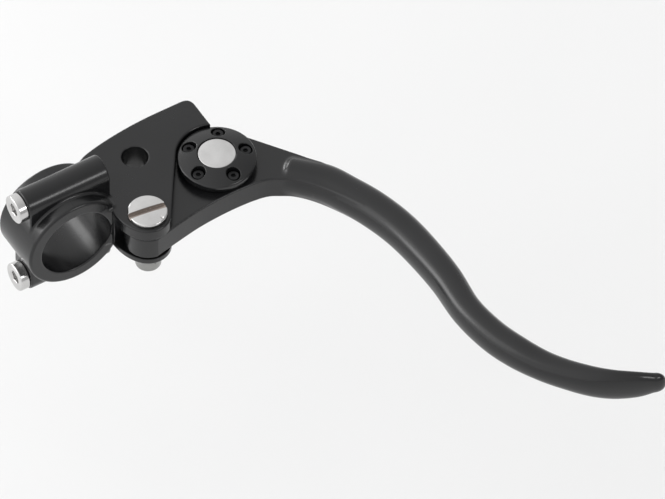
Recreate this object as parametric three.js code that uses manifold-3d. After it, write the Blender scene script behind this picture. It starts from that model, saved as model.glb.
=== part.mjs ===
// Clutch lever assembly: a split handlebar clamp with a forked perch, a curved lever on a
// shouldered pivot screw, and a slotted cable barrel under a round cover disc.
// Millimetres. X runs along the handlebar towards the blade tip, Y runs from the handlebar
// out over the perch, +Z is up. The origin is the middle of the handlebar bore, and Z = 0 is
// also the middle plane of the lever.

import * as THREE from 'three';
import { mergeVertices } from 'three/addons/utils/BufferGeometryUtils.js';
import Module from 'manifold-3d';

const wasm = await Module();
wasm.setup();

// Handlebar clamp
const BAR_RADIUS = 12.7;
const CLAMP_RADIUS = 17.4;
const CLAMP_WIDTH = 20.2;
const CLAMP_GAP = 0.2;
const EDGE_CHAMFER = 0.7;
const CLAMP_SCREW_Z = 17;
const CLAMP_BOSS_RADIUS = 5.45;
const CLAMP_BOSS_FRONT = 15.8;
const CLAMP_BOSS_BACK = -14.3;

// Clamp screws, M6
const CLAMP_HEAD_RADIUS = 4.9;
const CLAMP_HEAD_HEIGHT = 3.4;
const CLAMP_HEX = 4;
const CLAMP_HEX_DEPTH = 1.9;
const CLAMP_SHANK_RADIUS = 2.95;
const CLAMP_SHANK_END = 13;
const CLAMP_CLEARANCE_RADIUS = 3.3;

// Perch fork: an upper and a lower plate with the lever between them
const SLOT_TOP = 4.65;
const SLOT_BOTTOM = -4.95;
const SLOT_MOUTH = 12.6;
const PERCH_TOP = 9.15;
const PERCH_BOTTOM = -7.4;
const PIVOT = new THREE.Vector2(18, 22.4);
const PIVOT_BOSS_RADIUS = 7.8;
const BARREL = new THREE.Vector2(8.05, 54.5);
const RECESS_RADIUS = 13.4;
const PERCH_FRONT = 59.5;
const PERCH_SIDE = -17.9;
const PERCH_CORNER = 3;
const MIRROR_HOLE = new THREE.Vector2(-5, 31.2);
const MIRROR_HOLE_RADIUS = 4.4;
const CABLE_SEAT_Y = 53;
const CABLE_SEAT_Z = 0.6;
const CABLE_SEAT_RADIUS = 4.1;
const CABLE_SEAT_DEPTH = 7;
const CABLE_GUIDE_RADIUS = 1.7;

// Lever head and hub
const LEVER_HALF = 4.5;
const HUB_RADIUS = 7.7;
const HEAD_BOSS_RADIUS = 14.7;
const HUB_BORE_RADIUS = 5.05;
const HUB_RECESS_RADIUS = 6.9;
const HUB_RECESS_FLOOR = 4.2;
const CABLE_SLOT_TOP = 2.3;
const CABLE_SLOT_HALF = 1.6;
const CABLE_SLOT_ANGLES = [182, 193, 204, 215];

// Blade stations: x, y, half width across the blade, half height
const BLADE_STATIONS = [
  [21.6, 74.8, 5.7, 6.1],
  [29.7, 82.1, 6.2, 6],
  [38, 86.3, 6.1, 5.9],
  [47, 90, 6.1, 5.9],
  [58, 93, 6, 5.8],
  [70, 94.5, 5.8, 5.7],
  [85, 95, 5.5, 5.7],
  [100, 94, 5.1, 5.6],
  [113, 95.6, 5.1, 5.6],
  [123, 98.7, 5, 5.6],
  [132, 102.8, 4.6, 5.3],
  [139, 107.3, 4.2, 5.5],
  [146, 113, 3.8, 6],
  [151, 118.6, 3, 6.3],
  [155, 125.2, 2.5, 5.8],
  [157.2, 130.3, 2.2, 3.9],
];
const BLADE_RINGS = 34;
const BLADE_SEGMENTS = 16;
const CAP_RINGS = 5;
const CAP_SWEEP = Math.PI * 0.47;
const BLADE_NOSE = 3.2;
const BLADE_TIP = 3.8;
const BLADE_SQUARENESS = 2.2;

// Pivot screw with an M5 thread, bush, thrust washers and lock nut
const PIVOT_HEAD_RADIUS = 6.55;
const PIVOT_HEAD_HEIGHT = 1.9;
const PIVOT_SLOT_WIDTH = 2.2;
const PIVOT_SLOT_DEPTH = 1.1;
const PIVOT_SHOULDER_RADIUS = 4;
const PIVOT_THREAD_RADIUS = 2.45;
const PIVOT_END = -15.1;
const PIVOT_SLOT_TURN = -8;
const BUSH_OUTER_RADIUS = 5;
const BUSH_INNER_RADIUS = 4.06;
const WASHER_OUTER_RADIUS = 6.8;
const WASHER_INNER_RADIUS = 4.1;
const WASHER_THICKNESS = 0.35;
const NUT_ACROSS_FLATS = 8;
const NUT_HEX_HEIGHT = 4.6;
const NUT_COLLAR_RADIUS = 4.3;
const NUT_HEIGHT = 7.9;
const NUT_RING_HEIGHT = 1.6;

// Cover disc, its screws and the cable barrel
const DISC_RADIUS = 13.1;
const DISC_FOOT_RADIUS = 12.3;
const DISC_BOTTOM = 4.55;
const DISC_RIM_TOP = 7.9;
const DISC_CROWN = 10.3;
const DISC_SCREW_CIRCLE = 9.7;
const DISC_SCREW_ANGLES = [3, 75, 147, 219, 291];
const DISC_HEAD_RADIUS = 1.9;
const DISC_POCKET_RADIUS = 2.35;
const DISC_POCKET_FLOOR = 6.4;
const DISC_HEAD_HEIGHT = 2;
const DISC_HEX = 1.5;
const DISC_SCREW_RADIUS = 1;
const DISC_SCREW_END = 2.9;
const BARREL_BODY_RADIUS = 5.5;
const BARREL_FLANGE_RADIUS = 6.3;
const BARREL_TOP = 10.35;
const BARREL_FLANGE_HEIGHT = 1.1;
const BARREL_LENGTH = 22.4;
const BARREL_SLOT_WIDTH = 2.7;
const BARREL_HOLE_Z = 1;
const BARREL_HOLE_RADIUS = 3.15;
const BARREL_HOLE_SHOULDER = 3.4;

const BLACK = { color: 0x17181a, roughness: 0.34, metalness: 0.3 };
const BLACK_SCREW = { color: 0x101113, roughness: 0.42, metalness: 0.7 };
const SILVER = { color: 0xc9cacb, roughness: 0.24, metalness: 1 };
const BRONZE = { color: 0xa8824e, roughness: 0.36, metalness: 1 };
const NYLON = { color: 0xe6e4dc, roughness: 0.55, metalness: 0 };

// three.js geometry to a solid, with an optional placement
function solid(geometry, placement) {
  const bare = geometry.clone();
  bare.deleteAttribute('normal');
  bare.deleteAttribute('uv');
  if (placement) {
    bare.applyMatrix4(placement);
  }
  const merged = mergeVertices(bare, 1e-4);
  return new wasm.Manifold(new wasm.Mesh({
    numProp: 3,
    vertProperties: new Float32Array(merged.attributes.position.array),
    triVerts: new Uint32Array(merged.index.array),
  }));
}

function geometryOf(body) {
  const mesh = body.getMesh();
  const geometry = new THREE.BufferGeometry();
  geometry.setAttribute('position', new THREE.BufferAttribute(new Float32Array(mesh.vertProperties), 3));
  geometry.setIndex(new THREE.BufferAttribute(new Uint32Array(mesh.triVerts), 1));
  geometry.computeVertexNormals();
  return geometry;
}

// A turned solid about Z from [radius, z] pairs, starting and ending on the axis
function turned(profile, segments) {
  const points = profile.map(([radius, z]) => new THREE.Vector2(radius, z));
  const geometry = new THREE.LatheGeometry(points, segments);
  return solid(geometry, new THREE.Matrix4().makeRotationX(Math.PI / 2));
}

// A rod about Z with chamfered ends
function rod(radius, bottom, top, segments = 32, chamfer = 0) {
  if (chamfer === 0) {
    return turned([[0, bottom], [radius, bottom], [radius, top], [0, top]], segments);
  }
  return turned([
    [0, bottom],
    [radius - chamfer, bottom],
    [radius, bottom + chamfer],
    [radius, top - chamfer],
    [radius - chamfer, top],
    [0, top],
  ], segments);
}

// Turns a solid made about +Z so that its axis is +Y or +X, then moves it
function alongY(body, x, y, z) {
  return body.rotate([-90, 0, 0]).translate([x, y, z]);
}

function alongX(body, x, y, z) {
  return body.rotate([0, 90, 0]).translate([x, y, z]);
}

function plate(shape, bottom, top, curveSegments = 14) {
  const geometry = new THREE.ExtrudeGeometry(shape, {
    depth: top - bottom,
    bevelEnabled: false,
    curveSegments,
  });
  return solid(geometry, new THREE.Matrix4().makeTranslation(0, 0, bottom));
}

function block(x0, x1, y0, y1, z0, z1) {
  const geometry = new THREE.BoxGeometry(x1 - x0, y1 - y0, z1 - z0);
  const middle = new THREE.Matrix4().makeTranslation((x0 + x1) / 2, (y0 + y1) / 2, (z0 + z1) / 2);
  return solid(geometry, middle);
}

function hexPrism(acrossFlats, bottom, top) {
  const geometry = new THREE.CylinderGeometry(1, 1, top - bottom, 6);
  const radius = acrossFlats / Math.sqrt(3);
  const placement = new THREE.Matrix4().makeTranslation(0, 0, (bottom + top) / 2);
  placement.multiply(new THREE.Matrix4().makeRotationX(Math.PI / 2));
  placement.multiply(new THREE.Matrix4().makeScale(radius, 1, radius));
  return solid(geometry, placement);
}

// The tangent to two circles on the left of the line from a to b. A negative radius puts its
// circle on the other side of the tangent.
function leftTangent(a, radiusA, b, radiusB) {
  const along = b.clone().sub(a);
  const distance = along.length();
  along.divideScalar(distance);
  const left = new THREE.Vector2(-along.y, along.x);
  const sine = (radiusA - radiusB) / distance;
  const normal = along.multiplyScalar(sine).add(left.multiplyScalar(Math.sqrt(1 - sine * sine)));
  return {
    angle: normal.angle(),
    start: a.clone().addScaledVector(normal, radiusA),
    end: b.clone().addScaledVector(normal, radiusB),
  };
}

// Clamp half ring with its two screw bosses; side is +1 for the perch half, -1 for the cap
function clampHalf(side) {
  const half = CLAMP_WIDTH / 2;
  const ring = alongX(rod(CLAMP_RADIUS, -half, half, 48, EDGE_CHAMFER), 0, 0, 0);
  const reach = side > 0 ? CLAMP_BOSS_FRONT : -CLAMP_BOSS_BACK;
  let body = ring;
  for (const z of [CLAMP_SCREW_Z, -CLAMP_SCREW_Z]) {
    const boss = rod(CLAMP_BOSS_RADIUS, -reach, reach, 24, EDGE_CHAMFER);
    const wide = CLAMP_BOSS_RADIUS;
    const flank = block(-wide, wide, EDGE_CHAMFER - reach, reach - EDGE_CHAMFER, 6, CLAMP_SCREW_Z);
    body = body.add(alongY(boss, 0, 0, z));
    body = body.add(z > 0 ? flank : flank.rotate([180, 0, 0]));
  }
  const start = CLAMP_GAP / 2;
  const keep = side > 0 ? block(-30, 30, start, 40, -40, 40) : block(-30, 30, -40, -start, -40, 40);
  return body.intersect(keep);
}

function barBore() {
  const half = CLAMP_WIDTH / 2;
  const beyond = half + 0.01;
  return alongX(turned([
    [0, -beyond],
    [BAR_RADIUS + EDGE_CHAMFER, -beyond],
    [BAR_RADIUS, EDGE_CHAMFER - half],
    [BAR_RADIUS, half - EDGE_CHAMFER],
    [BAR_RADIUS + EDGE_CHAMFER, beyond],
    [0, beyond],
  ], 48), 0, 0, 0);
}

// Plan outline of both perch plates
function perchOutline() {
  const recessEnd = BARREL.x - Math.sqrt(RECESS_RADIUS ** 2 - (PERCH_FRONT - BARREL.y) ** 2);
  const edge = leftTangent(BARREL, -RECESS_RADIUS, PIVOT, PIVOT_BOSS_RADIUS);
  const shape = new THREE.Shape();
  shape.moveTo(-8.5, 10);
  shape.lineTo(9.4, 10);
  shape.lineTo(11.2, 12.8);
  shape.quadraticCurveTo(18.6, 12.7, 23, 16.4);
  shape.absarc(PIVOT.x, PIVOT.y, PIVOT_BOSS_RADIUS, -Math.PI * 0.275, edge.angle, false);
  shape.absarc(
    BARREL.x,
    BARREL.y,
    RECESS_RADIUS,
    edge.angle - Math.PI,
    Math.atan2(PERCH_FRONT - BARREL.y, recessEnd - BARREL.x) - Math.PI * 2,
    true,
  );
  shape.lineTo(PERCH_SIDE + PERCH_CORNER, PERCH_FRONT);
  shape.quadraticCurveTo(PERCH_SIDE, PERCH_FRONT, PERCH_SIDE, PERCH_FRONT - PERCH_CORNER);
  shape.lineTo(PERCH_SIDE, 46);
  shape.bezierCurveTo(PERCH_SIDE, 36, -16.2, 24, -14.2, 17.4);
  shape.quadraticCurveTo(-12.6, 13, -8.5, 10);
  shape.closePath();
  return shape;
}

// Hub, boss and the web between them, grown by a margin
function headOutline(margin) {
  const inner = leftTangent(PIVOT, HUB_RADIUS + margin, BARREL, HEAD_BOSS_RADIUS + margin);
  const shape = new THREE.Shape();
  shape.moveTo(inner.start.x, inner.start.y);
  shape.lineTo(inner.end.x, inner.end.y);
  shape.absarc(BARREL.x, BARREL.y, HEAD_BOSS_RADIUS + margin, inner.angle, Math.PI * 0.696, true);
  shape.lineTo(18.6 - 0.577 * margin, 80 + 0.817 * margin);
  shape.lineTo(24.9 + margin, 84.2 + margin);
  shape.lineTo(46 + margin, 89);
  shape.lineTo(48.2 + margin, 86.4);
  const nearEdge = [
    [39.9, 82.2], [31.9, 77.3], [27.4, 73.6], [24.6, 69.6],
    [22, 64.1], [21.2, 53.5], [21.9, 41.3], [23.6, 31.2], [25.5, 22.4],
  ];
  shape.splineThru(nearEdge.map(([x, y]) => new THREE.Vector2(x + margin, y)));
  shape.absarc(PIVOT.x, PIVOT.y, HUB_RADIUS + margin, 0, inner.angle - Math.PI * 2, true);
  shape.closePath();
  return shape;
}

function makePerch() {
  const outline = perchOutline();
  let body = plate(outline, PERCH_BOTTOM, PERCH_TOP);
  body = body.subtract(plate(headOutline(0.4), SLOT_BOTTOM, SLOT_TOP));
  body = body.subtract(block(SLOT_MOUTH, 40, 0, PIVOT.y, SLOT_BOTTOM, SLOT_TOP));
  body = body.subtract(block(PIVOT.x, 40, PIVOT.y, BARREL.y, SLOT_BOTTOM, SLOT_TOP));
  body = body.add(clampHalf(1));
  body = body.subtract(barBore());
  const hole = turned([
    [0, PERCH_BOTTOM - 1],
    [MIRROR_HOLE_RADIUS + 1.4, PERCH_BOTTOM - 1],
    [MIRROR_HOLE_RADIUS, PERCH_BOTTOM + 0.4],
    [MIRROR_HOLE_RADIUS, PERCH_TOP - 0.4],
    [MIRROR_HOLE_RADIUS + 1.4, PERCH_TOP + 1],
    [0, PERCH_TOP + 1],
  ], 32);
  body = body.subtract(hole.translate([MIRROR_HOLE.x, MIRROR_HOLE.y, 0]));
  for (const z of [CLAMP_SCREW_Z, -CLAMP_SCREW_Z]) {
    body = body.subtract(alongY(rod(3, -1, 13.8, 20), 0, 0, z));
  }
  body = body.subtract(rod(PIVOT_SHOULDER_RADIUS + 0.06, 0, 20, 32).translate([PIVOT.x, PIVOT.y, 0]));
  body = body.subtract(rod(2.51, -20, 0, 24).translate([PIVOT.x, PIVOT.y, 0]));
  const seat = rod(CABLE_SEAT_RADIUS, -1, CABLE_SEAT_DEPTH, 28);
  const guide = rod(CABLE_GUIDE_RADIUS, 0, 20, 16);
  body = body.subtract(alongX(seat.add(guide), PERCH_SIDE, CABLE_SEAT_Y, CABLE_SEAT_Z));
  return body;
}

function makeCap() {
  let body = clampHalf(-1).subtract(barBore());
  for (const z of [CLAMP_SCREW_Z, -CLAMP_SCREW_Z]) {
    body = body.subtract(alongY(rod(CLAMP_CLEARANCE_RADIUS, -30, 1, 24), 0, 0, z));
  }
  return body;
}

// Socket head screw about Z, its head at the bottom and its shank pointing up
function makeClampScrew() {
  const shank = CLAMP_SHANK_END - CLAMP_BOSS_BACK;
  const body = turned([
    [0, -CLAMP_HEAD_HEIGHT],
    [CLAMP_HEAD_RADIUS - 0.5, -CLAMP_HEAD_HEIGHT],
    [CLAMP_HEAD_RADIUS, 0.5 - CLAMP_HEAD_HEIGHT],
    [CLAMP_HEAD_RADIUS, 0],
    [CLAMP_SHANK_RADIUS, 0],
    [CLAMP_SHANK_RADIUS, shank - 0.6],
    [CLAMP_SHANK_RADIUS - 0.6, shank],
    [0, shank],
  ], 32);
  return body.subtract(hexPrism(CLAMP_HEX, -CLAMP_HEAD_HEIGHT - 1, CLAMP_HEX_DEPTH - CLAMP_HEAD_HEIGHT));
}

// A unit rod bent along the blade, with its section taken from the stations and a rounded
// nose and tip that run on past the first and the last station
function makeBlade() {
  const middle = new THREE.CatmullRomCurve3(
    BLADE_STATIONS.map(([x, y]) => new THREE.Vector3(x, y, 0)),
  );
  const section = new THREE.CatmullRomCurve3(
    BLADE_STATIONS.map(([, , width, height]) => new THREE.Vector3(width, height, 0)),
  );
  const straight = new THREE.CylinderGeometry(1, 1, 1, BLADE_SEGMENTS, BLADE_RINGS);
  const position = straight.attributes.position;
  const power = 2 / BLADE_SQUARENESS;
  for (let index = 0; index < position.count; index += 1) {
    const ring = (position.getY(index) + 0.5) * BLADE_RINGS;
    const along = THREE.MathUtils.clamp((ring - CAP_RINGS) / (BLADE_RINGS - 2 * CAP_RINGS), 0, 1);
    const nose = Math.max(0, 1 - ring / CAP_RINGS);
    const tip = Math.max(0, 1 - (BLADE_RINGS - ring) / CAP_RINGS);
    const cap = Math.max(nose, tip) * CAP_SWEEP;
    const tangent = middle.getTangent(along);
    const push = Math.sin(cap) * (nose > 0 ? -BLADE_NOSE : BLADE_TIP);
    const centre = middle.getPoint(along).addScaledVector(tangent, push);
    const size = section.getPoint(along).multiplyScalar(Math.cos(cap));
    const radius = Math.hypot(position.getX(index), position.getZ(index));
    const cosine = radius > 0 ? position.getX(index) / radius : 0;
    const sine = radius > 0 ? position.getZ(index) / radius : 0;
    const across = Math.sign(cosine) * Math.abs(cosine) ** power * size.x;
    const up = Math.sign(sine) * Math.abs(sine) ** power * size.y;
    position.setXYZ(index, centre.x + tangent.y * across, centre.y - tangent.x * across, up);
  }
  return solid(straight);
}

function makeLever() {
  let body = plate(headOutline(0), -LEVER_HALF, LEVER_HALF).add(makeBlade());
  const recess = rod(HUB_RECESS_RADIUS, HUB_RECESS_FLOOR, 20, 40);
  const hub = rod(HUB_BORE_RADIUS, -20, 20, 40).add(recess);
  body = body.subtract(hub.translate([PIVOT.x, PIVOT.y, 0]));
  body = body.subtract(rod(BARREL_BODY_RADIUS + 0.1, -20, 20, 40).translate([BARREL.x, BARREL.y, 0]));
  for (const angle of CABLE_SLOT_ANGLES) {
    const slot = block(0, 30, -CABLE_SLOT_HALF, CABLE_SLOT_HALF, -20, CABLE_SLOT_TOP);
    body = body.subtract(slot.rotate([0, 0, angle]).translate([BARREL.x, BARREL.y, 0]));
  }
  for (const [x, y] of discScrewPlaces()) {
    body = body.subtract(rod(DISC_SCREW_RADIUS + 0.05, DISC_SCREW_END - 0.3, 20, 12).translate([x, y, 0]));
  }
  return body;
}

function discScrewPlaces() {
  return DISC_SCREW_ANGLES.map((angle) => {
    const radians = THREE.MathUtils.degToRad(angle);
    return [
      BARREL.x + DISC_SCREW_CIRCLE * Math.cos(radians),
      BARREL.y + DISC_SCREW_CIRCLE * Math.sin(radians),
    ];
  });
}

function makeDisc() {
  const floor = BARREL_TOP - BARREL_FLANGE_HEIGHT - 0.05;
  let body = turned([
    [0, DISC_BOTTOM],
    [DISC_FOOT_RADIUS, DISC_BOTTOM],
    [DISC_RADIUS, DISC_RIM_TOP - 0.9],
    [DISC_RADIUS, DISC_RIM_TOP - 0.5],
    [DISC_RADIUS - 0.6, DISC_RIM_TOP],
    [11.4, 8.25],
    [9.7, 8.9],
    [8, 9.6],
    [6.6, DISC_CROWN],
    [0, DISC_CROWN],
  ], 40);
  const bore = turned([
    [0, 0],
    [BARREL_BODY_RADIUS + 0.1, 0],
    [BARREL_BODY_RADIUS + 0.1, floor],
    [BARREL_FLANGE_RADIUS + 0.15, floor],
    [BARREL_FLANGE_RADIUS + 0.15, 20],
    [0, 20],
  ], 40);
  body = body.subtract(bore);
  for (const [x, y] of discScrewPlaces()) {
    const pocket = turned([
      [0, 0],
      [DISC_SCREW_RADIUS + 0.15, 0],
      [DISC_SCREW_RADIUS + 0.15, DISC_POCKET_FLOOR],
      [DISC_POCKET_RADIUS, DISC_POCKET_FLOOR],
      [DISC_POCKET_RADIUS, 20],
      [0, 20],
    ], 16);
    body = body.subtract(pocket.translate([x - BARREL.x, y - BARREL.y, 0]));
  }
  return body;
}

function makeDiscScrew() {
  const top = DISC_POCKET_FLOOR + DISC_HEAD_HEIGHT;
  const body = turned([
    [0, DISC_SCREW_END],
    [DISC_SCREW_RADIUS, DISC_SCREW_END],
    [DISC_SCREW_RADIUS, DISC_POCKET_FLOOR],
    [DISC_HEAD_RADIUS, DISC_POCKET_FLOOR],
    [DISC_HEAD_RADIUS, top - 0.3],
    [DISC_HEAD_RADIUS - 0.3, top],
    [0, top],
  ], 16);
  return body.subtract(hexPrism(DISC_HEX, top - 1, top + 1));
}

// Barrel about Z: flange at the top, slot from the bottom up to the cross hole along X
function makeBarrel() {
  const bottom = BARREL_TOP - BARREL_LENGTH;
  const seat = BARREL_TOP - BARREL_FLANGE_HEIGHT;
  let body = turned([
    [0, bottom],
    [BARREL_BODY_RADIUS - 0.6, bottom],
    [BARREL_BODY_RADIUS, bottom + 0.6],
    [BARREL_BODY_RADIUS, seat],
    [BARREL_FLANGE_RADIUS, seat],
    [BARREL_FLANGE_RADIUS, BARREL_TOP - 0.35],
    [BARREL_FLANGE_RADIUS - 0.35, BARREL_TOP - 0.08],
    [3, BARREL_TOP],
    [0, BARREL_TOP],
  ], 48);
  const half = BARREL_SLOT_WIDTH / 2;
  body = body.subtract(block(-20, 20, -half, half, bottom - 5, BARREL_HOLE_Z));
  body = body.subtract(alongX(rod(half, -20, 20, 20), 0, 0, BARREL_HOLE_Z));
  return body.subtract(alongX(rod(BARREL_HOLE_RADIUS, -BARREL_HOLE_SHOULDER, 20, 28), 0, 0, BARREL_HOLE_Z));
}

function makePivotScrew() {
  const top = PERCH_TOP + PIVOT_HEAD_HEIGHT;
  const seat = PERCH_TOP + 0.02;
  const half = PIVOT_SLOT_WIDTH / 2;
  const body = turned([
    [0, PIVOT_END],
    [PIVOT_THREAD_RADIUS - 0.5, PIVOT_END],
    [PIVOT_THREAD_RADIUS, PIVOT_END + 0.5],
    [PIVOT_THREAD_RADIUS, SLOT_BOTTOM + 0.1],
    [PIVOT_SHOULDER_RADIUS, SLOT_BOTTOM + 0.1],
    [PIVOT_SHOULDER_RADIUS, seat],
    [PIVOT_HEAD_RADIUS, seat],
    [PIVOT_HEAD_RADIUS, top - 0.5],
    [PIVOT_HEAD_RADIUS - 0.5, top],
    [0, top],
  ], 40);
  return body.subtract(block(-half, half, -20, 20, top - PIVOT_SLOT_DEPTH, top + 1));
}

function ringAround(inner, outer, bottom, top, segments) {
  return rod(outer, bottom, top, segments).subtract(rod(inner, bottom - 1, top + 1, segments));
}

// Lock nut about Z, its seat at Z = 0 and its collar pointing down
function makeNut() {
  const collar = rod(NUT_COLLAR_RADIUS, -NUT_HEIGHT, 0, 32, 0.5);
  const hex = hexPrism(NUT_ACROSS_FLATS, -NUT_HEX_HEIGHT, 0);
  const bore = turned([
    [0, -NUT_HEIGHT - 1],
    [3.3, -NUT_HEIGHT - 1],
    [3.3, NUT_RING_HEIGHT + 0.4 - NUT_HEIGHT],
    [2.51, NUT_RING_HEIGHT + 0.4 - NUT_HEIGHT],
    [2.51, 1],
    [0, 1],
  ], 32);
  return hex.add(collar).subtract(bore);
}

const assembly = new THREE.Group();

function addMesh(parent, name, body, look, place = [0, 0, 0], turn = [0, 0, 0]) {
  const mesh = new THREE.Mesh(geometryOf(body), new THREE.MeshStandardMaterial(look));
  mesh.name = name;
  mesh.position.set(place[0], place[1], place[2]);
  mesh.rotation.set(turn[0], turn[1], turn[2]);
  parent.add(mesh);
  return mesh;
}

addMesh(assembly, 'perch_body', makePerch(), BLACK);
addMesh(assembly, 'clamp_cap', makeCap(), BLACK);

const screwTurn = [-Math.PI / 2, 0, 0];
const headSeat = CLAMP_BOSS_BACK - 0.02;
addMesh(assembly, 'clamp_screw_upper', makeClampScrew(), SILVER, [0, headSeat, CLAMP_SCREW_Z], screwTurn);
addMesh(assembly, 'clamp_screw_lower', makeClampScrew(), SILVER, [0, headSeat, -CLAMP_SCREW_Z], screwTurn);

const pivotGroup = new THREE.Group();
pivotGroup.position.set(PIVOT.x, PIVOT.y, 0);
assembly.add(pivotGroup);
const washer = ringAround(WASHER_INNER_RADIUS, WASHER_OUTER_RADIUS, 0, WASHER_THICKNESS, 32);
const bush = ringAround(BUSH_INNER_RADIUS, BUSH_OUTER_RADIUS, -LEVER_HALF, HUB_RECESS_FLOOR, 40);
const nutRing = ringAround(2.51, 3.25, 0, NUT_RING_HEIGHT, 24);
const slotTurn = [0, 0, THREE.MathUtils.degToRad(PIVOT_SLOT_TURN)];
addMesh(pivotGroup, 'pivot_screw', makePivotScrew(), SILVER, [0, 0, 0], slotTurn);
addMesh(pivotGroup, 'pivot_bush', bush, BRONZE);
addMesh(pivotGroup, 'thrust_washer_upper', washer, BRONZE, [0, 0, HUB_RECESS_FLOOR + 0.05]);
addMesh(pivotGroup, 'thrust_washer_lower', washer, BRONZE, [0, 0, SLOT_BOTTOM + 0.05]);
addMesh(pivotGroup, 'pivot_lock_nut', makeNut(), SILVER, [0, 0, PERCH_BOTTOM - 0.02]);
addMesh(pivotGroup, 'lock_nut_ring', nutRing, NYLON, [0, 0, PERCH_BOTTOM - 0.02 - NUT_HEIGHT + 0.3]);

addMesh(assembly, 'lever', makeLever(), BLACK);

const barrelGroup = new THREE.Group();
barrelGroup.position.set(BARREL.x, BARREL.y, 0);
assembly.add(barrelGroup);
addMesh(barrelGroup, 'cover_disc', makeDisc(), BLACK);
addMesh(barrelGroup, 'cable_barrel', makeBarrel(), SILVER);
discScrewPlaces().forEach(([x, y], index) => {
  const place = [x - BARREL.x, y - BARREL.y, 0.02];
  addMesh(barrelGroup, `cover_screw_${index + 1}`, makeDiscScrew(), BLACK_SCREW, place);
});

export default assembly;
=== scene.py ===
import math

import bpy
import numpy as np
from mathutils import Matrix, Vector


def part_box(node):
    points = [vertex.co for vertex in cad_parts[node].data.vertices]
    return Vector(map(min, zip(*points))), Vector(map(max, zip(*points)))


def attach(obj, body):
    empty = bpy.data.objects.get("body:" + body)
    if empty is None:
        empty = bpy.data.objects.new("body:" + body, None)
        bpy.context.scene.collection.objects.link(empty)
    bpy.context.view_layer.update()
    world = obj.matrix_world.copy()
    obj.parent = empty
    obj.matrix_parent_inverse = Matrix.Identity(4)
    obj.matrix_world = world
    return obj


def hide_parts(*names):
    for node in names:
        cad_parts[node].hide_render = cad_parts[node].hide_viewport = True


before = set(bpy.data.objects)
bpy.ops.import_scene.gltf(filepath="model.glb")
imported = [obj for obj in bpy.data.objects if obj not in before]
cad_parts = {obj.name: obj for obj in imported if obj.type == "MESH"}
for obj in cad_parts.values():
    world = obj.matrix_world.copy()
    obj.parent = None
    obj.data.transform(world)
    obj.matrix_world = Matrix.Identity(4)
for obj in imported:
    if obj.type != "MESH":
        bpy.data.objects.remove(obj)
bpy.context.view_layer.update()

# Dimensions in millimetres, in the frame of the CAD model. HALF is half a width, and a name
# that ends in TOP, BOTTOM, FLOOR, FOOT or END is a level along the piece's own axis.

# Clamp and perch
BAR_RADIUS = 12.7
CLAMP_RADIUS = 17.4
CLAMP_HALF = 10.1
SEAM = 0.03
BOSS_RADIUS = 5.45
BOSS_FRONT = 15.8
BOSS_BACK = -14.3
PERCH_TOP = 9.15
PERCH_BOTTOM = -7.4
PERCH_FRONT = 59.5
PIVOT = (18.0, 22.4)
PIVOT_BOSS = 7.8
DISC = (8.05, 54.5)
RECESS = 13.4
FORK_TOP = 4.65
FORK_BOTTOM = -4.95
FORK_MOUTH = 12.6
FORK_MARGIN = 0.4
MIRROR = (-5.0, 31.2)
MIRROR_RADIUS = 4.4
SEAT = (53.0, 0.6)
SEAT_RADIUS = 4.1
SEAT_END = -10.9
GUIDE_RADIUS = 1.7
SCREW_Z = 17.0
CLAMP_HOLE = 3.0
CLAMP_HOLE_END = 13.8
CLAMP_CLEARANCE = 3.3
SHOULDER_HOLE = 4.06
THREAD_HOLE = 2.51

# Lever
LEVER_HALF = 4.5
HUB = 7.7
HUB_BORE = 5.05
HUB_RECESS = 6.9
HUB_RECESS_FLOOR = 4.2
HEAD_BOSS = 14.7
BARREL_BORE = 5.6
CABLE_SLOT_TOP = 2.3
CABLE_SLOT_HALF = 1.6
CABLE_SLOT_ANGLES = (182, 215)
COVER_HOLE = 1.25
COVER_HOLE_FLOOR = 2.6
BLADE_NOSE = 3.2
BLADE_TIP = 3.8
BLADE_POWER = 2.2

# Cover disc and its screws
DISC_RADIUS = 13.1
DISC_FOOT_RADIUS = 12.25
DISC_TAPER = 0.36
DISC_BOTTOM = 4.55
DISC_TOP = 10.3
FLANGE_SEAT = 6.45
FLANGE_SEAT_FLOOR = 9.2
SCREW_CIRCLE = 9.7
SCREW_ANGLES = (3, 75, 147, 219, 291)
POCKET_RADIUS = 2.35
POCKET_FLOOR = 6.4
POCKET_HOLE = 1.15
COVER_HEAD = 1.9
COVER_HEAD_FOOT = 6.42
COVER_HEAD_TOP = 8.42
COVER_SHANK = 1.0
COVER_SHANK_END = 2.92
COVER_HEX = 1.5
COVER_HEX_FLOOR = 7.45

# Cable barrel
BARREL_RADIUS = 5.5
BARREL_BOTTOM = -12.05
BARREL_TOP = 10.35
BARREL_GROOVE = (5.62, -10.1)
BARREL_GROOVE_RADIUS = 0.35
FLANGE_RADIUS = 6.3
FLANGE_BOTTOM = 9.25
CABLE_LEVEL = 1.0
CABLE_HALF = 1.35
NIPPLE_RADIUS = 3.15
NIPPLE_END = -3.4

# Pivot screw and its nut
PIVOT_HEAD = 6.55
PIVOT_HEAD_FOOT = 9.17
PIVOT_HEAD_TOP = 11.3
PIVOT_CROWN = 11.15
SHOULDER = 4.0
SHOULDER_END = -4.85
THREAD = 2.45
THREAD_END = -15.1
DRIVER_TURN = -8
DRIVER_HALF = 1.1
DRIVER_FLOOR = 9.75
# Level below which the driver slot is painted darker, as painted shade
DRIVER_SHADE_TOP = 10.8
MARK = (5.05, 2.5)
MARK_RADIUS = 0.55
NUT_HEIGHT = 7.9
NUT_FLATS = 8.0
NUT_FLATS_END = -4.6
NUT_CHAMFER = (4.5, -4.4)
NUT_COLLAR = 4.3
NUT_RING_RADIUS = 3.3
NUT_RING_DEPTH = 2.0
GAP = 0.02

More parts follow.
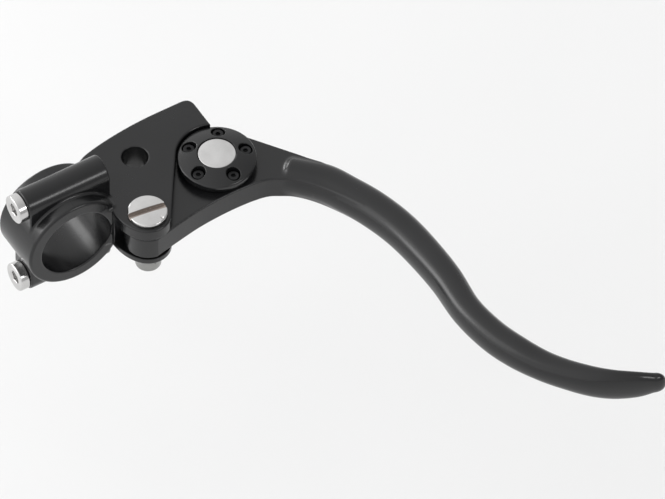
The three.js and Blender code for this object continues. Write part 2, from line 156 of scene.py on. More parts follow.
# Clamp screws
CLAMP_HEAD = 4.9
CLAMP_HEAD_HEIGHT = 3.4
CLAMP_DISH = 2.75
CLAMP_SHANK = 2.95
CLAMP_SHANK_END = 27.3
CLAMP_HEX = 4.0
CLAMP_HEX_FLOOR = -1.5

# Rings: inner and outer radius, then the levels of both ends
BUSH = (4.06, 5.0, -4.5, 4.2)
WASHER_RADII = (4.1, 6.8)
WASHER = 0.35
WASHER_FEET = (4.25, -4.9)
NYLON_RING = (2.51, 3.25, 0, 1.6)
NYLON_RING_LIFT = 0.3

# Blade stations: x, y, half width across the blade, half height
BLADE = np.array([
    (21.6, 74.8, 5.7, 6.1),
    (29.7, 82.1, 6.2, 6),
    (38, 86.3, 6.1, 5.9),
    (47, 90, 6.1, 5.9),
    (58, 93, 6, 5.8),
    (70, 94.5, 5.8, 5.7),
    (85, 95, 5.5, 5.7),
    (100, 94, 5.1, 5.6),
    (113, 95.6, 5.1, 5.6),
    (123, 98.7, 5, 5.6),
    (132, 102.8, 4.6, 5.3),
    (139, 107.3, 4.2, 5.5),
    (146, 113, 3.8, 6),
    (151, 118.6, 3, 6.3),
    (155, 125.2, 2.5, 5.6),
    (157.2, 130.3, 2.2, 4.1),
])


# ---------------------------------------------------------------- distance fields
# A field takes x, y, z arrays that broadcast together and returns a signed distance.

def length(*parts):
    return np.sqrt(sum(p * p for p in parts))


def round_and(a, b, r):
    """The common part of two solids, with its edge rounded."""
    corner = length(np.maximum(r + a, 0), np.maximum(r + b, 0))
    return np.minimum(-r, np.maximum(a, b)) + corner


def round_or(a, b, r):
    """Two solids joined, with a fillet of radius r between them."""
    corner = length(np.maximum(r - a, 0), np.maximum(r - b, 0))
    return np.maximum(r, np.minimum(a, b)) - corner


def round_cut(a, b, r):
    """Solid a less solid b, with the new edge rounded."""
    return round_and(a, -b, r)


def slab(v, low, high):
    return np.abs(v - (low + high) / 2) - (high - low) / 2


def rod(a, b, radius, v, low, high, edge):
    """A rod of a radius about one axis, from low to high along it.

    Where a rod runs on into a wider one, that end is put anywhere inside the wider one.
    """
    return round_and(length(a, b) - radius, slab(v, low, high), edge)


def hexagon(a, b, flats):
    half = flats / 2
    tilt = math.sqrt(3) / 2
    return np.maximum(np.abs(b), np.abs(a) * tilt + np.abs(b) / 2) - half


def polygon(x, y, points):
    """Signed distance to a closed outline in the plane."""
    x, y = np.broadcast_arrays(x, y)
    near = np.full(x.shape, 1e12)
    inside = np.zeros(x.shape, bool)
    for (ax, ay), (bx, by) in zip(points, np.roll(points, -1, axis=0)):
        ex, ey = bx - ax, by - ay
        t = np.clip(((x - ax) * ex + (y - ay) * ey) / (ex * ex + ey * ey), 0, 1)
        near = np.minimum(near, (x - ax - t * ex) ** 2 + (y - ay - t * ey) ** 2)
        if ey:
            inside ^= ((ay > y) != (by > y)) & (x < ax + (y - ay) * ex / ey)
    return np.where(inside, -1, 1) * np.sqrt(near)


def on_circle(centre, radius, angle):
    return centre[0] + radius * math.cos(angle), centre[1] + radius * math.sin(angle)


def arc(centre, radius, start, end, count):
    return [on_circle(centre, radius, angle) for angle in np.linspace(start, end, count)]


def bezier(points, count):
    points = [np.array(p, float) for p in points]
    out = []
    for t in np.linspace(0, 1, count):
        level = points
        while len(level) > 1:
            level = [p + (q - p) * t for p, q in zip(level, level[1:])]
        out.append(tuple(level[0]))
    return out


def spline(points, count):
    """Catmull-Rom curve through rows of points, any number of columns."""
    points = np.array(points, float)
    padded = np.vstack([2 * points[0] - points[1], points, 2 * points[-1] - points[-2]])
    out = []
    for s in np.linspace(0, len(points) - 1, count):
        i = min(int(s), len(points) - 2)
        t = s - i
        a, b, c, d = padded[i:i + 4]
        square = 2 * a - 5 * b + 4 * c - d
        cube = 3 * (b - c) + d - a
        out.append(b + 0.5 * t * ((c - a) + t * (square + t * cube)))
    return np.array(out)


def tangent(a, ra, b, rb):
    """Angle of the normal of the line that touches two circles on the left of a to b."""
    dx, dy = b[0] - a[0], b[1] - a[1]
    reach = math.hypot(dx, dy)
    return math.atan2(dy, dx) + math.acos((ra - rb) / reach)


# ---------------------------------------------------------------- meshing

def net(name, field, low, high, cell, split=None):
    """Surface nets over a box, with every vertex then moved onto the field's zero level.

    split is (y, skin) for a piece that is cut off flat at y: the vertices along the cut then
    lie exactly where the cut meets the skin, so the edge comes out sharp.
    """
    axes = [np.arange(a - 2.3 * cell, b + 2.6 * cell, cell) for a, b in zip(low, high)]
    value = field(axes[0][:, None, None], axes[1][None, :, None], axes[2][None, None, :])
    value = np.ascontiguousarray(np.broadcast_to(value, [len(a) for a in axes]), dtype=np.float32)
    inside = value < 0
    corners = [(i, j, k) for i in (0, 1) for j in (0, 1) for k in (0, 1)]
    shape = [n - 1 for n in value.shape]

    def corner(data, offset):
        return data[tuple(slice(o, o + n) for o, n in zip(offset, shape))]

    total = sum(corner(inside, c).astype(np.int8) for c in corners)
    cells = np.argwhere((total > 0) & (total < 8))
    index = np.full(shape, -1, np.int64)
    index[tuple(cells.T)] = np.arange(len(cells))
    place = np.zeros((len(cells), 3))
    hits = np.zeros(len(cells))
    for a in corners:
        for axis in range(3):
            if a[axis]:
                continue
            b = tuple(1 if n == axis else v for n, v in enumerate(a))
            va = value[tuple((cells + a).T)]
            vb = value[tuple((cells + b).T)]
            cross = (va < 0) != (vb < 0)
            t = np.where(cross, va / np.where(cross, va - vb, 1), 0)
            point = np.array(a, float) + t[:, None] * (np.array(b) - np.array(a))
            place += np.where(cross[:, None], point, 0)
            hits += cross
    start = np.array([a[0] for a in axes])
    points = start + (cells + place / hits[:, None]) * cell

    quads = []
    for axis in range(3):
        u, v = [n for n in range(3) if n != axis]
        edge = np.argwhere(np.diff(inside, axis=axis))
        keep = (edge[:, u] > 0) & (edge[:, v] > 0)
        keep &= (edge[:, u] < shape[u]) & (edge[:, v] < shape[v])
        edge = edge[keep]
        du, dv = np.eye(3, dtype=int)[u], np.eye(3, dtype=int)[v]
        ring = [index[tuple((edge - a).T)] for a in (du + dv, dv, 0 * du, du)]
        ring = np.stack(ring, axis=1)
        leaving = inside[tuple(edge.T)]
        flip = leaving if axis == 1 else ~leaving
        ring[flip] = ring[flip][:, ::-1]
        quads.append(ring)
    quads = np.vstack(quads)

    points, normals = settle(field, points, cell)
    if split:
        sharpen(points, normals, start, cells, cell, *split)
    return make_object(name, points, quads, normals)


def sharpen(points, normals, start, cells, cell, cut, skin):
    """Moves the vertices of the cells that hold the cut edge onto that edge, in place."""
    bottom = start[1] + cells[:, 1] * cell
    rows = np.flatnonzero((bottom <= cut) & (bottom + cell > cut))
    offsets = np.array([(i, 0, k) for i in (0, 1) for k in (0, 1)], float)
    around = start + (cells[rows][:, None] + offsets) * cell
    around[..., 1] = cut
    depth = skin(*np.moveaxis(around, -1, 0))
    rows = rows[(depth.min(axis=1) < 0) & (depth.max(axis=1) >= 0)]
    edge = points[rows]
    edge[:, 1] = cut
    for _ in range(5):
        value, gradient = slope(skin, edge)
        gradient[:, 1] = 0
        edge -= gradient * (value / np.maximum((gradient ** 2).sum(axis=1), 0.05))[:, None]
    points[rows] = edge
    _, gradient = slope(skin, edge)
    normals[rows] = gradient / np.linalg.norm(gradient, axis=1)[:, None]


def slope(field, points):
    """Value and gradient of a field at points, from four samples each."""
    step = 0.012
    corners = np.array([(1, -1, -1), (-1, -1, 1), (-1, 1, -1), (1, 1, 1)], float)
    samples = [field(*(points + step * c).T) for c in corners]
    gradient = sum(s[:, None] * c for s, c in zip(samples, corners)) / (4 * step)
    return sum(samples) / 4, gradient


def settle(field, points, cell):
    """Moves points onto the field's zero level by less than a cell, and returns their normals."""
    start = points.copy()
    for _ in range(4):
        value, gradient = slope(field, points)
        size = np.maximum((gradient ** 2).sum(axis=1), 0.05)
        points = points - gradient * (value / size)[:, None]
        drift = points - start
        far = np.maximum(np.linalg.norm(drift, axis=1) / (0.85 * cell), 1)
        points = start + drift / far[:, None]
    _, gradient = slope(field, points)
    normals = gradient / np.maximum(np.linalg.norm(gradient, axis=1), 1e-9)[:, None]
    return points, normals


def make_object(name, points, quads, normals):
    mesh = bpy.data.meshes.new(name)
    mesh.vertices.add(len(points))
    mesh.vertices.foreach_set("co", (points / 1000).astype(np.float32).ravel())
    mesh.loops.add(quads.size)
    mesh.loops.foreach_set("vertex_index", quads.astype(np.int32).ravel())
    mesh.polygons.add(len(quads))
    mesh.polygons.foreach_set("loop_start", np.arange(0, quads.size, 4, dtype=np.int32))
    mesh.update(calc_edges=True)
    mesh.validate()
    mesh.shade_smooth()
    mesh.normals_split_custom_set_from_vertices(normals)
    piece = bpy.data.objects.new(name, mesh)
    bpy.context.scene.collection.objects.link(piece)
    return piece


# ---------------------------------------------------------------- outlines

def perch_outline():
    """The perch from above: clamp side, pivot boss, hollow around the disc, and the far edge."""
    lean = tangent(DISC, -RECESS, PIVOT, PIVOT_BOSS)
    rise = PERCH_FRONT - DISC[1]
    stop = math.atan2(rise, -math.sqrt(RECESS ** 2 - rise ** 2)) - 2 * math.pi
    low = -math.pi * 0.275
    start = on_circle(PIVOT, PIVOT_BOSS, low)
    points = [(-8.5, 10), (9.4, 10)]
    points += bezier([(11.2, 12.8), (18.6, 12.7), start], 12)
    points += arc(PIVOT, PIVOT_BOSS, low, lean, 28)[1:]
    points += arc(DISC, RECESS, lean - math.pi, stop, 28)
    points += bezier([(-14.4, PERCH_FRONT), (-17.9, PERCH_FRONT), (-17.9, 56.0)], 8)
    points += bezier([(-17.9, 46), (-17.9, 36), (-16.2, 24), (-14.2, 17.4)], 14)
    points += bezier([(-14.2, 17.4), (-12.6, 13), (-8.5, 10)], 8)[1:-1]
    return np.array(points)


def head_outline(margin):
    """The lever head from above, grown by a margin for the slot that it moves in."""
    lean = tangent(PIVOT, HUB + margin, DISC, HEAD_BOSS + margin)
    points = [on_circle(PIVOT, HUB + margin, lean)]
    points += arc(DISC, HEAD_BOSS + margin, lean, math.pi * 0.696, 24)
    points += [
        (18.6 - 0.577 * margin, 80 + 0.817 * margin),
        (24.9 + margin, 84.2 + margin),
        (46 + margin, 89),
    ]
    near = [
        (48.2, 86.4), (39.9, 82.2), (31.9, 77.3), (27.4, 73.6), (24.6, 69.6),
        (22, 64.1), (21.2, 53.5), (21.9, 41.3), (23.6, 31.2), (25.5, 22.4),
    ]
    points += [(x + margin, y) for x, y in spline(near, 56)]
    points += arc(PIVOT, HUB + margin, 0, lean - 2 * math.pi, 28)[1:-1]
    return np.array(points)


PERCH_PLAN = perch_outline()
HEAD_PLAN = head_outline(0)
FORK_PLAN = head_outline(FORK_MARGIN)
CENTRELINE = spline(BLADE, 260)
SCREW_OFFSETS = [on_circle((0, 0), SCREW_CIRCLE, math.radians(angle)) for angle in SCREW_ANGLES]


# ---------------------------------------------------------------- fields of the pieces

def clamp_ring(x, y, z, reach):
    ring = round_and(length(y, z) - CLAMP_RADIUS, np.abs(x) - CLAMP_HALF, 1.0)
    high = np.clip(np.abs(z), 6, SCREW_Z)
    boss = round_and(length(x, np.abs(z) - high) - BOSS_RADIUS, np.abs(y) - reach, 0.6)
    return round_or(ring, boss, 0.9)


def bar_bore(y, z):
    return length(y, z) - BAR_RADIUS


def collar_skin(x, y, z):
    """The collar near its split plane, as if it were one piece."""
    return round_cut(clamp_ring(x, y, z, BOSS_FRONT), bar_bore(y, z), 0.6)


def perch(x, y, z):
    plan = polygon(x, y, PERCH_PLAN)
    body = round_and(plan, slab(z, PERCH_BOTTOM, PERCH_TOP), 0.7)
    mouth = np.maximum(FORK_MOUTH - x, y - PIVOT[1])
    flank = np.maximum(PIVOT[0] - x, y - DISC[1])
    fork = np.minimum(polygon(x, y, FORK_PLAN), np.minimum(mouth, flank))
    body = round_cut(body, np.maximum(fork, slab(z, FORK_BOTTOM, FORK_TOP)), 0.15)
    collar = clamp_ring(x, y, z, BOSS_FRONT)
    body = round_or(body, np.maximum(collar, 2 - y), 1.0)
    body = np.minimum(body, np.maximum(collar, y - 4))
    body = np.maximum(round_cut(body, bar_bore(y, z), 0.6), SEAM - y)
    mirror = length(x - MIRROR[0], y - MIRROR[1])
    body = round_cut(body, mirror - MIRROR_RADIUS, 0.45)
    for side in (1, -1):
        screw = np.maximum(length(x, z - side * SCREW_Z) - CLAMP_HOLE, y - CLAMP_HOLE_END)
        body = np.maximum(body, -screw)
    pivot = length(x - PIVOT[0], y - PIVOT[1])
    body = round_cut(body, np.maximum(pivot - SHOULDER_HOLE, -z), 0.3)
    body = round_cut(body, np.maximum(pivot - THREAD_HOLE, z), 0.3)
    seat = length(y - SEAT[0], z - SEAT[1])
    body = round_cut(body, np.maximum(seat - SEAT_RADIUS, x - SEAT_END), 0.4)
    return np.maximum(body, -np.maximum(seat - GUIDE_RADIUS, x))


def cap(x, y, z):
    body = round_cut(clamp_ring(x, y, z, -BOSS_BACK), bar_bore(y, z), 0.6)
    body = np.maximum(body, y + SEAM)
    for side in (1, -1):
        body = round_cut(body, length(x, z - side * SCREW_Z) - CLAMP_CLEARANCE, 0.3)
    return body


def blade(x, y, z):
    """The grip of the lever: a squarish oval section along the centreline."""
    x, y = np.broadcast_arrays(x, y)
    near = np.full(x.shape, 1e12)
    where = np.zeros(x.shape)
    count = len(CENTRELINE) - 1
    for i in range(count):
        ax, ay = CENTRELINE[i, :2]
        ex, ey = CENTRELINE[i + 1, :2] - CENTRELINE[i, :2]
        t = np.clip(((x - ax) * ex + (y - ay) * ey) / (ex * ex + ey * ey), 0, 1)
        gap = (x - ax - t * ex) ** 2 + (y - ay - t * ey) ** 2
        better = gap < near
        near = np.where(better, gap, near)
        where = np.where(better, i + t, where)
    at = [np.interp(where, np.arange(count + 1), CENTRELINE[:, n]) for n in range(4)]
    first = CENTRELINE[0, :2] - CENTRELINE[1, :2]
    last = CENTRELINE[-1, :2] - CENTRELINE[-2, :2]
    before = where <= 0
    after = where >= count
    out = np.where(before[..., None], first / np.linalg.norm(first), last / np.linalg.norm(last))
    dx, dy = x - at[0], y - at[1]
    over = np.where(before | after, dx * out[..., 0] + dy * out[..., 1], 0)
    over = np.maximum(over, 0)
    side = np.sqrt(np.maximum(near - over * over, 0))
    run = np.where(before, BLADE_NOSE, BLADE_TIP)
    p = BLADE_POWER
    a, b, c = side / at[2], np.abs(z) / at[3], over / run
    total = np.maximum(a ** p + b ** p + c ** p, 1e-6)
    size = total ** (1 / p)
    steep = length(a ** (p - 1) / at[2], b ** (p - 1) / at[3], c ** (p - 1) / run)
    steep = steep * size ** (1 - p)
    return np.maximum((size - 1) / np.maximum(steep, 1e-3), -np.minimum(at[2], at[3]))


def across(dx, dy, degrees):
    angle = math.radians(degrees)
    return dy * math.cos(angle) - dx * math.sin(angle)


def cable_fan(dx, dy):
    """The sweep of the cable slot between its two end directions."""
    low, high = CABLE_SLOT_ANGLES
    near = -across(dx, dy, low) - CABLE_SLOT_HALF
    far = across(dx, dy, high) - CABLE_SLOT_HALF
    middle = (low + high) / 2
    return np.maximum(np.maximum(near, far), -across(dx, dy, middle - 90))


def lever(x, y, z):
    head = round_and(polygon(x, y, HEAD_PLAN), np.abs(z) - LEVER_HALF, 0.55)
    body = round_or(head, blade(x, y, z), 0.8)
    hub = length(x - PIVOT[0], y - PIVOT[1])
    recess = np.maximum(hub - HUB_RECESS, HUB_RECESS_FLOOR - z)
    body = round_cut(body, np.minimum(hub - HUB_BORE, recess), 0.15)
    dx, dy = x - DISC[0], y - DISC[1]
    body = round_cut(body, length(dx, dy) - BARREL_BORE, 0.3)
    body = round_cut(body, np.maximum(cable_fan(dx, dy), z - CABLE_SLOT_TOP), 0.3)
    for sx, sy in SCREW_OFFSETS:
        hole = length(dx - sx, dy - sy) - COVER_HOLE
        body = np.maximum(body, -np.maximum(hole, COVER_HOLE_FLOOR - z))
    return body


def disc(x, y, z):
    dx, dy = x - DISC[0], y - DISC[1]
    radius = length(dx, dy)
    beyond = np.maximum(radius - FLANGE_RADIUS, 0)
    dome = DISC_TOP - beyond * 0.2 - beyond ** 2 * 0.018
    # A slanted face is scaled to stay a distance
    undercut = (radius - DISC_FOOT_RADIUS - (z - DISC_BOTTOM) * DISC_TAPER) * 0.94
    wall = np.maximum(radius - DISC_RADIUS, undercut)
    body = round_and(wall, slab(z, DISC_BOTTOM, 14), 0.2)
    body = round_and(body, (z - dome) * 0.93, 0.5)
    body = round_cut(body, radius - BARREL_BORE, 0.2)
    body = round_cut(body, np.maximum(radius - FLANGE_SEAT, FLANGE_SEAT_FLOOR - z), 0.15)
    for sx, sy in SCREW_OFFSETS:
        aside = length(dx - sx, dy - sy)
        body = round_cut(body, np.maximum(aside - POCKET_RADIUS, POCKET_FLOOR - z), 0.3)
        body = np.maximum(body, POCKET_HOLE - aside)
    return body


def disc_screw(x, y, z):
    head = rod(x, y, COVER_HEAD, z, COVER_HEAD_FOOT, COVER_HEAD_TOP, 0.3)
    shank = rod(x, y, COVER_SHANK, z, COVER_SHANK_END, 7.0, 0.2)
    body = np.minimum(head, shank)
    return round_cut(body, np.maximum(hexagon(x, y, COVER_HEX), COVER_HEX_FLOOR - z), 0.12)


def barrel(x, y, z):
    """The cable barrel: a flange, a groove near the foot, and the slot and holes for the cable."""
    radius = length(x, y)
    body = rod(x, y, BARREL_RADIUS, z, BARREL_BOTTOM, 9.6, 0.5)
    crown = z - BARREL_TOP + radius ** 2 * 0.009
    flange = round_and(round_and(radius - FLANGE_RADIUS, FLANGE_BOTTOM - z, 0.12), crown, 0.3)
    body = np.minimum(body, flange)
    groove = length(radius - BARREL_GROOVE[0], z - BARREL_GROOVE[1])
    body = np.maximum(body, BARREL_GROOVE_RADIUS - groove)
    body = round_cut(body, np.maximum(np.abs(y) - CABLE_HALF, z - CABLE_LEVEL), 0.2)
    cross = length(y, z - CABLE_LEVEL)
    body = round_cut(body, cross - CABLE_HALF, 0.2)
    return round_cut(body, np.maximum(cross - NIPPLE_RADIUS, NIPPLE_END - x), 0.25)


def pivot_screw(x, y, z):
    radius = length(x, y)
    head = rod(x, y, PIVOT_HEAD, z, PIVOT_HEAD_FOOT, PIVOT_HEAD_TOP, 0.3)
    head = round_and(head, z - PIVOT_CROWN + radius ** 2 * 0.0075, 0.42)
    shoulder = rod(x, y, SHOULDER, z, SHOULDER_END, 9.6, 0.3)
    thread = rod(x, y, THREAD, z, THREAD_END, -4.0, 0.4)
    body = np.minimum(np.minimum(head, shoulder), thread)
    c, s = math.cos(math.radians(DRIVER_TURN)), math.sin(math.radians(DRIVER_TURN))
    slot = np.abs(x * c + y * s) - DRIVER_HALF
    body = round_cut(body, np.maximum(slot, DRIVER_FLOOR - z), 0.16)
    mark = length(x - MARK[0], y - MARK[1], z - PIVOT_CROWN) - MARK_RADIUS
    return round_cut(body, mark, 0.08)


def clamp_screw(x, y, z):
    """A clamp screw with its head below zero and its shank above."""
    head = rod(x, y, CLAMP_HEAD, z, -CLAMP_HEAD_HEIGHT, 0, 0.5)
    shank = rod(x, y, CLAMP_SHANK, z, -1, CLAMP_SHANK_END, 0.5)
    body = np.minimum(head, shank)
    dish = length(x, y) - CLAMP_DISH + (z + CLAMP_HEAD_HEIGHT) * 1.6
    body = round_cut(body, dish * 0.53, 0.12)
    return round_cut(body, np.maximum(hexagon(x, y, CLAMP_HEX), z - CLAMP_HEX_FLOOR), 0.15)


def nut(x, y, z):
    """A lock nut hung from zero, with a round collar that holds the nylon ring."""
    radius = length(x, y)
    cone = (radius - NUT_CHAMFER[0] + (NUT_CHAMFER[1] - z) * 0.7) * 0.8
    hexed = round_and(hexagon(x, y, NUT_FLATS), slab(z, NUT_FLATS_END, 0), 0.2)
    hexed = round_and(hexed, cone, 0.15)
    collar = rod(x, y, NUT_COLLAR, z, -NUT_HEIGHT, -3, 0.6)
    body = round_or(hexed, collar, 0.15)
    body = round_cut(body, radius - THREAD_HOLE, 0.2)
    seat = np.maximum(radius - NUT_RING_RADIUS, z + NUT_HEIGHT - NUT_RING_DEPTH)
    return round_cut(body, seat, 0.2)


def ring(inner, outer, low, high, edge):
    """The field of a plain ring about Z."""

    def field(x, y, z):
        wall = np.abs(length(x, y) - (inner + outer) / 2) - (outer - inner) / 2
        return round_and(wall, slab(z, low, high), edge)

    return field


# ---------------------------------------------------------------- materials

class Nodes:
    """Short helpers for building one node material."""

    def __init__(self, name):
        self.material = bpy.data.materials.new(name)
        self.material.use_nodes = True
        self.tree = self.material.node_tree
        self.shader = self.tree.nodes["Principled BSDF"]
        coordinates = self.tree.nodes.new("ShaderNodeTexCoord")
        self.place = coordinates.outputs["Object"]

    def link(self, source, target):
        self.tree.links.new(source, target)

    def noise(self, scale, detail=3.0, vector=None):
        node = self.tree.nodes.new("ShaderNodeTexNoise")
        node.inputs["Scale"].default_value = scale
        node.inputs["Detail"].default_value = detail
        self.link(vector or self.place, node.inputs["Vector"])
        return node.outputs["Fac"]

    def spread(self, value, low, high, low_in=0.3, high_in=0.7):
        node = self.tree.nodes.new("ShaderNodeMapRange")
        self.link(value, node.inputs["Value"])
        limits = {"From Min": low_in, "From Max": high_in, "To Min": low, "To Max": high}
        for key, number in limits.items():
            node.inputs[key].default_value = number
        return node.outputs["Result"]

    def tint(self, value, low, high):
        """A mix of two colours, where the first can be another node's output."""
        node = self.tree.nodes.new("ShaderNodeMix")
        node.data_type = "RGBA"
        self.link(value, node.inputs["Factor"])
        if isinstance(low, tuple):
            node.inputs["A"].default_value = (*low, 1)
        else:
            self.link(low, node.inputs["A"])
        node.inputs["B"].default_value = (*high, 1)
        return node.outputs["Result"]

    def bump(self, height, strength, distance, under=None):
        node = self.tree.nodes.new("ShaderNodeBump")
        node.inputs["Strength"].default_value = strength
        node.inputs["Distance"].default_value = distance
        self.link(height, node.inputs["Height"])
        if under:
            self.link(under, node.inputs["Normal"])
        return node.outputs["Normal"]

    def math(self, kind, a, b=None):
        node = self.tree.nodes.new("ShaderNodeMath")
        node.operation = kind
        for socket, value in zip(node.inputs, (a, b)):
            if value is None:
                continue
            if isinstance(value, (int, float)):
                socket.default_value = value
            else:
                self.link(value, socket)
        return node.outputs[0]

    def set(self, **values):
        for key, value in values.items():
            self.shader.inputs[key.replace("_", " ")].default_value = value


def black_alloy():
    n = Nodes("black_alloy")
    n.set(Metallic=0.0, IOR=1.5)
    broad = n.noise(55, 3)
    fine = n.noise(900, 2)
    colour = n.tint(n.spread(broad, 0, 1), (0.0045, 0.0046, 0.005), (0.0065, 0.0066, 0.0072))
    n.link(colour, n.shader.inputs["Base Color"])
    rough = n.math("ADD", n.spread(broad, 0.22, 0.26), n.spread(fine, -0.02, 0.02))
    n.link(rough, n.shader.inputs["Roughness"])
    low = n.bump(n.noise(260, 2), 0.10, 0.00004)
    n.link(n.bump(fine, 0.16, 0.00003, low), n.shader.inputs["Normal"])
    return n.material


def turned_steel(name, centre, axis, rough, groove=None):
    """Polished steel with fine turning rings about an axis through centre (in metres).

    groove is (angle in degrees, half width, top level) of a slot that gets painted shade: darker,
    browner steel below the top level.
    """
    n = Nodes(name)
    n.set(Metallic=1.0)
    split = n.tree.nodes.new("ShaderNodeSeparateXYZ")
    n.link(n.place, split.inputs[0])
    keep = [k for k in range(3) if k != axis]
    flat = [n.math("SUBTRACT", split.outputs[k], centre[k]) for k in keep]
    squares = [n.math("MULTIPLY", side, side) for side in flat]
    radius = n.math("SQRT", n.math("ADD", *squares))
    join = n.tree.nodes.new("ShaderNodeCombineXYZ")
    n.link(radius, join.inputs[0])
    n.link(n.math("MULTIPLY", split.outputs[axis], 0.35), join.inputs[1])
    rings = n.noise(2600, 4, join.outputs[0])
    broad = n.noise(130, 2)
    metal = n.tint(n.spread(broad, 0, 1), (0.56, 0.555, 0.55), (0.66, 0.655, 0.65))
    # Painted shade: inside the slot the colour fades to a darker, browner steel below the top level
    if groove:
        turn, half, level = groove
        c, s = math.cos(math.radians(turn)), math.sin(math.radians(turn))
        aside = n.math("ADD", n.math("MULTIPLY", flat[0], c), n.math("MULTIPLY", flat[1], s))
        inside = n.spread(n.math("ABSOLUTE", aside), 1, 0, half - 0.00005, half + 0.0001)
        deep = n.spread(split.outputs[axis], 1, 0, level - 0.0006, level)
        metal = n.tint(n.math("MULTIPLY", inside, deep), metal, (0.36, 0.31, 0.28))
    n.link(metal, n.shader.inputs["Base Color"])
    along = n.spread(rings, rough - 0.03, rough + 0.05)
    uneven = n.math("ADD", along, n.spread(broad, -0.02, 0.03))
    n.link(uneven, n.shader.inputs["Roughness"])
    n.link(n.bump(rings, 0.12, 0.00002), n.shader.inputs["Normal"])
    return n.material


def plain_metal(name, dark, light, rough, metallic=1.0):
    n = Nodes(name)
    n.set(Metallic=metallic)
    broad = n.noise(160, 3)
    fine = n.noise(1500, 3)
    n.link(n.tint(n.spread(broad, 0, 1), dark, light), n.shader.inputs["Base Color"])
    uneven = n.math("ADD", n.spread(broad, rough - 0.03, rough + 0.05), n.spread(fine, -0.03, 0.03))
    n.link(uneven, n.shader.inputs["Roughness"])
    n.link(n.bump(fine, 0.2, 0.00003), n.shader.inputs["Normal"])
    return n.material


# ---------------------------------------------------------------- assembling the pieces

def finish_piece(piece, node, body, slot, material):
    piece.data.materials.append(material)
    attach(piece, body)
    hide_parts(node)


def moved(field, x0, y0, z0):
    return lambda x, y, z: field(x - x0, y - y0, z - z0)


def lying(field, y0, z0):
    """A field made about +Z, laid along +Y with its zero at y0."""
    return lambda x, y, z: field(x, z0 - z, y - y0)


def node_box(node):
    low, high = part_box(node)
    return np.array(low) * 1000, np.array(high) * 1000


black = black_alloy()
pieces = [
    ("perch_body", perch, 0.33, "perch", "black_alloy", black),
    ("clamp_cap", cap, 0.3, "perch", "black_alloy", black),
    ("lever", lever, 0.38, "lever_arm", "black_alloy", black),
    ("cover_disc", disc, 0.17, "lever_arm", "black_alloy", black),
]

pivot_at = (PIVOT[0] / 1000, PIVOT[1] / 1000, 0)
disc_at = (DISC[0] / 1000, DISC[1] / 1000, 0)
# Painted shade for the pivot screw's driver slot, darker towards its floor
slot_shade = (DRIVER_TURN, DRIVER_HALF / 1000, DRIVER_SHADE_TOP / 1000)
pivot_steel = turned_steel("pivot_steel", pivot_at, 2, 0.14, slot_shade)
barrel_steel = turned_steel("barrel_steel", disc_at, 2, 0.18)
# Painted shade: the lock nut's steel is darker than the other stainless parts, for the shade under
# the perch
shaded_nut_steel = plain_metal("shaded_nut_steel", (0.26, 0.26, 0.255), (0.36, 0.36, 0.35), 0.3)
nut_top = PERCH_BOTTOM - GAP
pieces += [
    ("pivot_screw", moved(pivot_screw, *PIVOT, 0), 0.14, "perch", "stainless", pivot_steel),
    ("cable_barrel", moved(barrel, *DISC, 0), 0.15, "barrel", "stainless", barrel_steel),
    ("pivot_lock_nut", moved(nut, *PIVOT, nut_top), 0.12, "perch", "stainless", shaded_nut_steel),
]
for name, side in (("clamp_screw_upper", 1), ("clamp_screw_lower", -1)):
    steel = turned_steel(name + "_steel", (0, 0, side * SCREW_Z / 1000), 1, 0.16)
    field = lying(clamp_screw, BOSS_BACK - GAP, side * SCREW_Z)
    pieces.append((name, field, 0.14, "perch", "stainless", steel))

oxide = plain_metal("black_oxide", (0.012, 0.012, 0.013), (0.02, 0.02, 0.021), 0.36, 0.6)
for number, (sx, sy) in enumerate(SCREW_OFFSETS, 1):
    field = moved(disc_screw, DISC[0] + sx, DISC[1] + sy, 0)
    pieces.append(("cover_screw_%d" % number, field, 0.08, "lever_arm", "black_steel", oxide))

bronze = plain_metal("bronze", (0.36, 0.22, 0.09), (0.46, 0.29, 0.12), 0.3)
nylon = plain_metal("nylon", (0.70, 0.69, 0.64), (0.78, 0.77, 0.72), 0.5, 0.0)
bush = moved(ring(*BUSH, 0.15), *PIVOT, 0)
pieces.append(("pivot_bush", bush, 0.18, "lever_arm", "bronze", bronze))
for name, foot in zip(("thrust_washer_upper", "thrust_washer_lower"), WASHER_FEET):
    washer = moved(ring(*WASHER_RADII, foot, foot + WASHER, 0.08), *PIVOT, 0)
    pieces.append((name, washer, 0.1, "perch", "bronze", bronze))
lock_ring = moved(ring(*NYLON_RING, 0.2), *PIVOT, nut_top - NUT_HEIGHT + NYLON_RING_LIFT)
pieces.append(("lock_nut_ring", lock_ring, 0.12, "perch", "nylon", nylon))

SPLITS = {"perch_body": (SEAM, collar_skin), "clamp_cap": (-SEAM, collar_skin)}
for name, field, cell, body, slot, material in pieces:
    low, high = node_box(name)
    piece = net(name + "_piece", field, low, high, cell, SPLITS.get(name))
    finish_piece(piece, name, body, slot, material)


# ---------------------------------------------------------------- stage, light and camera
# From here on lengths are in metres.

FLOOR_HALF = 3
FLOOR_LEVEL = -0.12
MIDDLE = Vector((0.07, 0.065, 0))
AZIMUTH = 59
ELEVATION = 50
CAMERA_DISTANCE = 6.0
CAMERA_LENS = 997.3
AIM_RIGHT = 0.08857
AIM_DOWN = 0.00876


def floor_material():
    n = Nodes("floor")
    n.set(Roughness=0.85)
    shade = n.spread(n.noise(6, 2), 0, 1)
    colour = n.tint(shade, (0.78, 0.78, 0.78), (0.8, 0.8, 0.8))
    n.link(colour, n.shader.inputs["Base Color"])
    return n.material


floor_mesh = bpy.data.meshes.new("floor")
signs = [(-1, -1), (1, -1), (1, 1), (-1, 1)]
corners = [(i * FLOOR_HALF, j * FLOOR_HALF, FLOOR_LEVEL) for i, j in signs]
floor_mesh.from_pydata(corners, [], [(0, 1, 2, 3)])
floor = bpy.data.objects.new("floor", floor_mesh)
floor_mesh.materials.append(floor_material())
bpy.context.scene.collection.objects.link(floor)

world = bpy.data.worlds.new("studio")
bpy.context.scene.world = world
world.use_nodes = True

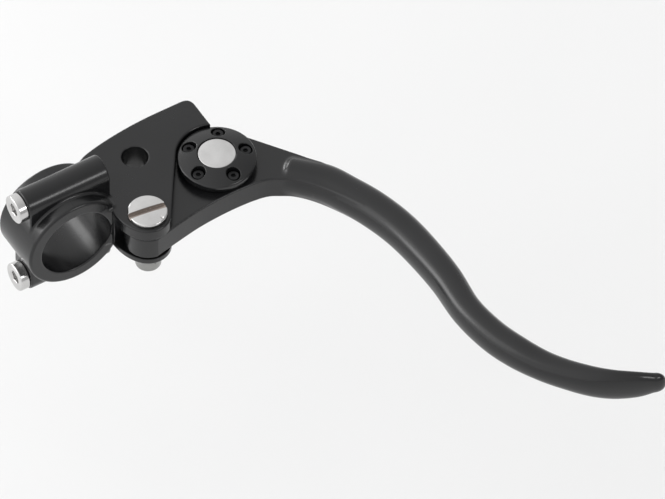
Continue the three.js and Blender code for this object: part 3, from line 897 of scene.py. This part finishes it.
# The surroundings are brighter on the left and darker on the right
tree = world.node_tree
sky = tree.nodes.new("ShaderNodeTexCoord")
toward = tree.nodes.new("ShaderNodeVectorMath")
toward.operation = "DOT_PRODUCT"
toward.inputs[1].default_value = (-0.515, -0.857, 0)
tree.links.new(sky.outputs["Generated"], toward.inputs[0])
level = tree.nodes.new("ShaderNodeMapRange")
for key, number in (("From Min", -1), ("From Max", 1), ("To Min", 0.35), ("To Max", 1.5)):
    level.inputs[key].default_value = number
tree.links.new(toward.outputs["Value"], level.inputs["Value"])
tree.links.new(level.outputs["Result"], tree.nodes["Background"].inputs["Strength"])
tree.nodes["Background"].inputs["Color"].default_value = (1, 1, 1, 1)
bpy.context.scene.view_settings.view_transform = "Standard"


def area_light(name, direction, distance, width, height, power):
    light = bpy.data.lights.new(name, "AREA")
    light.shape = "RECTANGLE"
    light.size = width
    light.size_y = height
    light.energy = power
    lamp = bpy.data.objects.new(name, light)
    away = Vector(direction).normalized()
    lamp.location = MIDDLE + away * distance
    lamp.rotation_mode = "QUATERNION"
    lamp.rotation_quaternion = away.to_track_quat("Z", "Y")
    bpy.context.scene.collection.objects.link(lamp)


area_light("left_softbox", (-0.6, -0.66, 0.4), 1.1, 0.6, 0.4, 2.4)
area_light("low_left_panel", (-0.96, -0.14, 0.24), 1.1, 0.35, 0.25, 1.5)
area_light("wide_panel", (-0.35, -0.8, 0.62), 1.3, 1.1, 0.8, 2.2)
area_light("right_softbox", (0.75, 0.33, 0.53), 1.1, 0.45, 0.2, 2.0)

# The camera stands far back, so that the view is almost parallel
azimuth, elevation = math.radians(AZIMUTH), math.radians(ELEVATION)
reach = math.cos(elevation)
back = Vector((math.sin(azimuth) * reach, -math.cos(azimuth) * reach, math.sin(elevation)))
right = Vector((math.cos(azimuth), math.sin(azimuth), 0))
up = back.cross(right).normalized()
aim = right * AIM_RIGHT - up * AIM_DOWN
camera_data = bpy.data.cameras.new("camera")
camera_data.sensor_width = 36
camera_data.lens = CAMERA_LENS
camera_data.clip_end = 100
camera = bpy.data.objects.new("camera", camera_data)
camera.location = aim + back * CAMERA_DISTANCE
camera.rotation_mode = "QUATERNION"
camera.rotation_quaternion = back.to_track_quat("Z", "Y")
bpy.context.scene.collection.objects.link(camera)
bpy.context.scene.camera = camera
